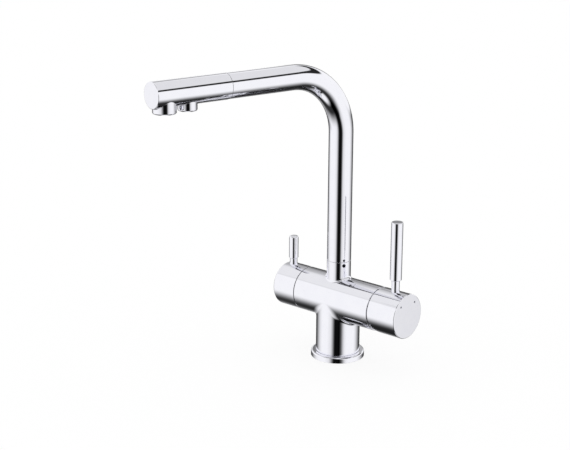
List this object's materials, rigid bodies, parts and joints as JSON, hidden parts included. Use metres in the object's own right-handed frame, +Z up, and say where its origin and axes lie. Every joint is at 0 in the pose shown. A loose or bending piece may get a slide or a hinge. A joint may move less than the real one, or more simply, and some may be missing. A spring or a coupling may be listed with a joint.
{
  "type": "kitchen sink tap",
  "caption": "Deck mounted three way kitchen tap with a swivelling L-shaped spout, a side mixer lever and a side lever for filtered water",
  "frame": {"origin": "centre of the tap's foot on the worktop, on the spout's turning axis", "axes": "+Z up along the spout's turning axis, -Y towards the user, +X along the barrel to the mixer handle"},
  "size_m": [0.1615, 0.2485, 0.3147],
  "materials": {
    "chrome": "mirror polished chrome plate on brass",
    "brass": "machined",
    "steel": "plain stainless steel",
    "rubber": "matt black",
    "black_plastic": "moulded",
    "white_plastic": "moulded",
    "ceramic": "lapped",
    "grey_enamel": "satin grey dot"
  },
  "bodies": {
    "tap_body": {"body_casting": "chrome", "pedestal": "chrome", "inlet_plate": "brass", "base_ring": "chrome", "base_gasket": "rubber", "collar_grub_screw": "steel", "swivel_washer": "black_plastic", "cartridge_seal": "rubber", "cartridge_housing": "white_plastic", "fixed_ceramic_disc": "ceramic", "cartridge_nut": "brass", "mixer_dome": "chrome", "filter_valve_body": "brass", "filter_valve_seal": "rubber", "filter_fixed_disc": "ceramic"},
    "spout": {"spout_pipe": "chrome", "spout_tail": "brass", "tail_o_ring_lower": "rubber", "tail_o_ring_upper": "rubber", "tail_bush": "white_plastic", "filter_nipple": "brass", "filter_nipple_o_ring": "rubber", "filter_tube": "white_plastic", "spout_head": "chrome", "head_spigot": "brass", "head_o_ring": "rubber", "head_grub_screw": "steel", "mains_aerator_sleeve": "chrome", "mains_aerator_insert": "black_plastic", "mains_aerator_washer": "rubber", "filter_aerator_sleeve": "chrome", "filter_aerator_insert": "black_plastic", "filter_aerator_washer": "rubber"},
    "rotor": {"mixer_rotor": "white_plastic", "pivot_pin": "steel"},
    "mixing_disc": {"moving_ceramic_disc": "ceramic", "disc_carrier": "black_plastic"},
    "mixer_handle": {"cartridge_stem": "steel", "mixer_handle_cap": "chrome", "mixer_lever": "chrome", "mixer_handle_screw": "steel", "hot_indicator": "grey_enamel", "cold_indicator": "grey_enamel"},
    "filter_handle": {"filter_spindle": "brass", "filter_moving_disc": "ceramic", "filter_spindle_o_ring": "rubber", "filter_handle_cap": "chrome", "filter_lever": "chrome", "filter_handle_screw": "steel"}
  },
  "joints": [
    {"name": "spout_swivel", "type": "hinge", "parent": "tap_body", "child": "spout", "pos_m": [0, 0, 0.105], "axis": [0, 0, 1], "range_deg": [-168.6, 191.4]},
    {"name": "mixer_temperature", "type": "hinge", "parent": "tap_body", "child": "rotor", "pos_m": [0.054, 0, 0.064], "axis": [1, 0, 0], "range_deg": [-45, 45]},
    {"name": "mixer_flow", "type": "hinge", "parent": "rotor", "child": "mixer_handle", "pos_m": [0.054, 0, 0.057], "axis": [0, 1, 0], "range_deg": [0, 20]},
    {"name": "disc_slide", "type": "slide", "parent": "rotor", "child": "mixing_disc", "axis": [0, 0, 1], "range_m": [0, 0.00425]},
    {"name": "filter_turn", "type": "hinge", "parent": "tap_body", "child": "filter_handle", "pos_m": [-0.055, 0, 0.064], "axis": [1, 0, 0], "range_deg": [0, 90]}
  ],
  "couplings": [
    {"joint": "disc_slide", "follows": "mixer_flow", "m_per_rad": 0.01215}
  ]
}
